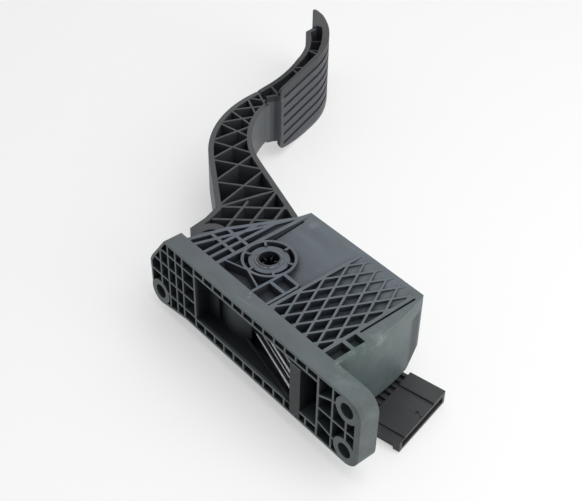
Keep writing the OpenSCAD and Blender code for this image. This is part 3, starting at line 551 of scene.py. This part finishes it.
def new_piece(name, points, faces, uv, material):
    """Puts a grid surface and its UV map into a smooth mesh, with its material and slot."""
    mesh = bpy.data.meshes.new(name)
    mesh.from_pydata(points.reshape(-1, 3), [], faces)
    mesh.polygons.foreach_set("use_smooth", np.ones(len(mesh.polygons), bool))
    layer = mesh.uv_layers.new(name="along")
    loops = np.zeros(len(mesh.loops), np.int32)
    mesh.loops.foreach_get("vertex_index", loops)
    layer.data.foreach_set("uv", uv.reshape(-1, 2)[loops].astype(np.float32).ravel())
    mesh.materials.append(material)
    mesh.update()
    piece = bpy.data.objects.new(name, mesh)
    bpy.context.scene.collection.objects.link(piece)
    return piece


def grid_faces(rows, columns):
    """Quads of a grid that closes on itself across its columns, and its two end caps."""
    i, k = np.meshgrid(np.arange(rows - 1), np.arange(columns), indexing="ij")
    j = (k + 1) % columns
    quads = np.stack([i * columns + k, i * columns + j, (i + 1) * columns + j,
                      (i + 1) * columns + k], -1).reshape(-1, 4).tolist()
    first = np.arange(columns)[::-1].tolist()
    last = ((rows - 1) * columns + np.arange(columns)).tolist()
    return quads + [first, last]


def wire_tube(path, axis, radius):
    """Tube: every point of the path plus a circle in the plane across it.

    The circle starts from the direction away from the pivot axis, tilted a little upwards,
    with its part along the path taken off.
    """
    along = np.gradient(path, axis=0)
    along /= np.linalg.norm(along, axis=1, keepdims=True)
    away = path - axis
    away[:, 2] = 0
    away /= np.linalg.norm(away, axis=1, keepdims=True)
    away[:, 2] = WIRE_TILT
    side = away - (away * along).sum(1, keepdims=True) * along
    side /= np.linalg.norm(side, axis=1, keepdims=True)
    up = np.cross(along, side)
    turn = np.arange(WIRE_SIDES) * 2 * np.pi / WIRE_SIDES
    ring = (np.cos(turn)[:, None] * side[:, None, :] + np.sin(turn)[:, None] * up[:, None, :])
    points = path[:, None, :] + radius * ring
    length = np.concatenate([[0], np.cumsum(np.linalg.norm(np.diff(path, axis=0), axis=1))])
    uv = np.stack(np.broadcast_arrays(length[:, None] * WIRE_UNITS,
                                      (turn / (2 * np.pi))[None, :]), -1)
    return points, uv


def spring_path(sizes, coil, hook, level, up):
    """Centre line of one half of a double torsion spring, and the height of its far end.

    Hook, coil, leg and half of the bridge, one after the other. A coil is the circle about
    the pivot whose height grows with its angle; a leg is the tangent at its end; the
    bridge's corner is a quarter circle. Up is 1 or -1, the way from the leg to the hook.
    """
    px, py = HINGE["pos_m"][0], HINGE["pos_m"][1]
    slope = np.radians(LEG_SLOPE)
    end = slope - np.pi / 2
    start = end - sizes.turns * 2 * np.pi
    u = np.array([np.cos(slope), np.sin(slope), 0])
    z = np.array([0, 0, 1.0])
    out = 1 if hook > coil else -1
    far = level + up * sizes.turns * sizes.pitch
    angle = np.linspace(start + COIL_LEAD, end, COIL_POINTS)
    height = far + (level - far) * (angle - start) / (end - start)
    turns = np.stack([px + coil * np.cos(angle), py + coil * np.sin(angle), height], -1)
    reach = np.array([hook, coil + out * HOOK_STEPS[0], coil + out * HOOK_STEPS[1]])
    twist = start + np.array([0, 0, HOOK_TURN])
    tip = np.stack([px + reach * np.cos(twist), py + reach * np.sin(twist),
                    np.full(3, far)], -1)
    root = np.array([px + coil * np.cos(end), py + coil * np.sin(end), level])
    tail = root + u * sizes.leg
    bend = BRIDGE_BEND
    straight = root + u * np.linspace(0.02, 1, LEG_POINTS)[:, None] * (sizes.leg - bend)
    a = np.linspace(0.15, np.pi / 2, CORNER_POINTS)[:, None]
    corner = tail - bend * u + bend * (np.sin(a) * u - up * (1 - np.cos(a)) * z)
    middle = np.array([[tail[0], tail[1], BRIDGE]])
    return np.concatenate([tip, turns, straight, corner, middle]), far


class PEDAL_OT_housing(bpy.types.Operator):
    """Finishes the flange and housing moulding"""

    bl_idname = "pedal.housing"
    bl_label = "Housing"

    def execute(self, context):
        c, s = context.scene.pedal_colours, context.scene.pedal_sizes
        # Painted light and shade: pockets darkened, and boxes made lighter or darker
        dress(["housing"], moulded("filled_nylon_grey", tuple(c.housing), s.edge, 0.5, 0.42,
                                   reach=s.shade_reach, rubs=RUBS, flecks=FLECKS,
                                   painted_light_shade=HOUSING_PAINTED_LIGHT_AND_SHADE))
        return {"FINISHED"}


class PEDAL_OT_arm(bpy.types.Operator):
    """Finishes the arm with its foot pad, and the pivot shaft"""

    bl_idname = "pedal.arm"
    bl_label = "Arm and shaft"

    def execute(self, context):
        c, s = context.scene.pedal_colours, context.scene.pedal_sizes
        # Painted shade: the arm's pockets, its faces along the pivot axis and boxes about the pad made darker
        dress(["pedal_arm"], moulded("filled_nylon_arm", tuple(c.arm), s.edge, 0.5, 0.3,
                                     reach=s.shade_reach, deep=0.4,
                                     open_at=(0.7, 0.94), top_shade=0.54, painted_light_shade=ARM_PAINTED_SHADE,
                                     shade_lifted=PAD))
        # Painted shade: the shaft's pockets and its hollow made darker
        dress(["pivot_shaft", "magnet_holder"],
              moulded("shaft_acetal", tuple(c.shaft), s.edge * 0.6, 0.36, 1.0, 0.5,
                      reach=s.shade_reach * 0.5, deep=0.3, painted_light_shade=SHAFT_PAINTED_SHADE, lip=PALE_LIP))
        dress(["bush_upper", "bush_lower"],
              moulded("bush_plastic", tint(slot_colour("bush_plastic"), 0.8, (1.0, 1.02, 1.15)),
                      s.edge * 0.6, 0.42, 0.8, 0.5, lip=PALE_LIP))
        return {"FINISHED"}


class PEDAL_OT_cover(bpy.types.Operator):
    """Finishes the sensor cover with its plug shell and what it holds"""

    bl_idname = "pedal.cover"
    bl_label = "Sensor cover"

    def execute(self, context):
        c, s = context.scene.pedal_colours, context.scene.pedal_sizes
        dress(["sensor_cover"],
              moulded("cover_black", tuple(c.cover), s.edge * 0.8, 0.44, 0.35, 0.8, 0.2))
        dress(["terminal_%d" % i for i in range(1, 7)],
              plated("tinned_blade", slot_colour("terminal_metal"), 0.26))
        dress(["cover_screw_%d" % i for i in range(1, 5)],
              plated("zinc_screw", slot_colour("screw_steel")))
        dress(["circuit_board"], board_resist("board_resist", slot_colour("board")))
        dress(["hall_sensor_1", "hall_sensor_2"],
              moulded("chip_package", slot_colour("chip"), s.edge * 0.3, 0.4, 0.1, 0.4))
        dress(["sensor_magnet"], sintered("sintered_magnet", slot_colour("magnet")))
        return {"FINISHED"}


class PEDAL_OT_rubber(bpy.types.Operator):
    """Finishes the rubber stops and the cover's seal"""

    bl_idname = "pedal.rubber"
    bl_label = "Rubber"

    def execute(self, context):
        dress(["idle_stop", "full_travel_stop", "cover_seal"],
              rubber("stop_rubber", slot_colour("stop_rubber")))
        return {"FINISHED"}


class PEDAL_OT_springs(bpy.types.Operator):
    """Makes the two nested double torsion springs from round wire, wound up by the arm"""

    bl_idname = "pedal.springs"
    bl_label = "Return springs"

    def execute(self, context):
        c, s = context.scene.pedal_colours, context.scene.pedal_sizes
        wire = spring_wire("drawn_wire", tuple(c.wire))
        axis = np.array(HINGE["pos_m"])
        for name, coil, hook in (("spring_inner", s.inner_radius, INNER_HOOK),
                                 ("spring_outer", s.outer_radius, OUTER_HOOK)):
            for half, level, up in SPRING_HALVES:
                path, far = spring_path(s, coil, hook, level, up)
                points, uv = wire_tube(path, axis, s.wire_radius)
                piece = new_piece(name + half, points, grid_faces(*points.shape[:2]), uv,
                                  wire)
                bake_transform(piece)
                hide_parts(name)
        return {"FINISHED"}


class PEDAL_OT_stage(bpy.types.Operator):
    """Sets the floor, the lamps and the camera"""

    bl_idname = "pedal.stage"
    bl_label = "Studio"

    def execute(self, context):
        scene = context.scene
        self.floor(scene)
        self.lamps(scene)
        self.camera(scene)
        scene.view_settings.view_transform = "Standard"
        return {"FINISHED"}

    def floor(self, scene):
        """A wide plane just under the part.

        It is parallel to the plane through the cover's left edge and the pad's lowest point.
        """
        cover_lo, cover_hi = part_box("sensor_cover")
        points = np.array([v.co for node in NODES.values() for v in node.data.vertices])
        arm = np.array([v.co for v in NODES["pedal_arm"].data.vertices])
        pad = Vector(arm[arm[:, 2].argmin()])
        edge_start = Vector((cover_lo.x, cover_lo.y, cover_lo.z))
        edge_end = Vector((cover_lo.x, cover_hi.y, cover_lo.z))
        normal = (edge_end - edge_start).cross(pad - edge_start).normalized()
        normal = normal if normal.z > 0 else -normal
        depth = float((points @ np.array(normal)).min()) - FLOOR_PLAY
        side = Vector((1, 0, 0)).cross(normal).normalized()
        ahead = normal.cross(side)
        corners = [normal * depth + (x * ahead + y * side) * FLOOR_REACH
                   for x, y in ((-1, -1), (1, -1), (1, 1), (-1, 1))]
        mesh = bpy.data.meshes.new("floor")
        mesh.from_pydata(corners, [], [(0, 1, 2, 3)])
        floor = bpy.data.objects.new("floor", mesh)
        scene.collection.objects.link(floor)
        m = Finish("studio_floor")
        pale = tuple(scene.pedal_colours.floor)
        base = m.mix(m.noise(1.2, 2), tint(pale, 0.985), pale)
        seen, near = m.shown(), m.near(*FLOOR_FADE)
        base = m.mix(seen, base, m.mix(near, (0, 0, 0), tint(pale, FLOOR_SHARE)))
        glow = [tint(pale, share) for share in FLOOR_GLOW]
        glow = m.mix(seen, (0, 0, 0), m.mix(near, glow[1], glow[0]))
        mesh.materials.append(m.surface(Base_Color=base, Roughness=0.7, Emission_Color=glow,
                                        Emission_Strength=1.0, Specular_IOR_Level=0.2))

    def lamps(self, scene):
        """Soft boxes above, at the right and behind, and an even light from all round."""
        world = bpy.data.worlds.new("studio")
        scene.world = world
        world.use_nodes = True
        sky = Tree(world.node_tree)
        colour = sky.mix(sky.shown(), SKY, tuple(scene.pedal_colours.floor))
        back = sky.node("Background", {}, {"Color": colour, "Strength": 1.0})
        sky.node("OutputWorld", {}, [back.outputs[0]])
        for name, place, size, power in LAMPS:
            data = bpy.data.lights.new(name, "AREA")
            data.energy = power
            data.size = size
            lamp = bpy.data.objects.new(name, data)
            lamp.location = place
            aim = Vector(LAMP_AIM) - Vector(place)
            lamp.rotation_euler = aim.to_track_quat("-Z", "Y").to_euler()
            scene.collection.objects.link(lamp)

    def camera(self, scene):
        """The camera that took the photograph, fitted to the part's corners."""
        data = bpy.data.cameras.new("camera")
        data.sensor_width = SENSOR
        data.lens = LENS
        data.clip_start, data.clip_end = 0.01, 50
        cam = bpy.data.objects.new("camera", data)
        az, el, roll = np.radians(CAMERA_TURNS)
        back = Vector((np.sin(az) * np.cos(el), -np.cos(az) * np.cos(el), np.sin(el)))
        right = Vector((np.cos(az), np.sin(az), 0))
        up = back.cross(right)
        x = np.cos(roll) * right + np.sin(roll) * up
        y = -np.sin(roll) * right + np.cos(roll) * up
        place = Vector(CAMERA_TARGET) + back * CAMERA_DISTANCE
        cam.matrix_world = Matrix((
            (x[0], y[0], back[0], place[0]), (x[1], y[1], back[1], place[1]),
            (x[2], y[2], back[2], place[2]), (0, 0, 0, 1)))
        scene.collection.objects.link(cam)
        scene.camera = cam


OPERATORS = (PEDAL_OT_housing, PEDAL_OT_arm, PEDAL_OT_cover, PEDAL_OT_rubber,
             PEDAL_OT_springs, PEDAL_OT_stage)


class PEDAL_PT_panel(bpy.types.Panel):
    """Lists the pedal's settings and its steps"""

    bl_idname = "PEDAL_PT_panel"
    bl_label = "Accelerator pedal"
    bl_space_type = "VIEW_3D"
    bl_region_type = "UI"
    bl_category = "Pedal"

    def draw(self, context):
        for group in (context.scene.pedal_colours, context.scene.pedal_sizes):
            for key in group.__annotations__:
                self.layout.prop(group, key)
        for operator in OPERATORS:
            self.layout.operator(operator.bl_idname)


CLASSES = (PedalColours, PedalSizes, *OPERATORS, PEDAL_PT_panel)


def register():
    for cls in CLASSES:
        bpy.utils.register_class(cls)
    bpy.types.Scene.pedal_colours = bpy.props.PointerProperty(type=PedalColours)
    bpy.types.Scene.pedal_sizes = bpy.props.PointerProperty(type=PedalSizes)


def unregister():
    del bpy.types.Scene.pedal_sizes
    del bpy.types.Scene.pedal_colours
    for cls in reversed(CLASSES):
        bpy.utils.unregister_class(cls)


def main():
    """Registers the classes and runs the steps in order."""
    register()
    for operator in OPERATORS:
        group, name = operator.bl_idname.split(".")
        getattr(getattr(bpy.ops, group), name)()


if __name__ == "__main__":
    main()
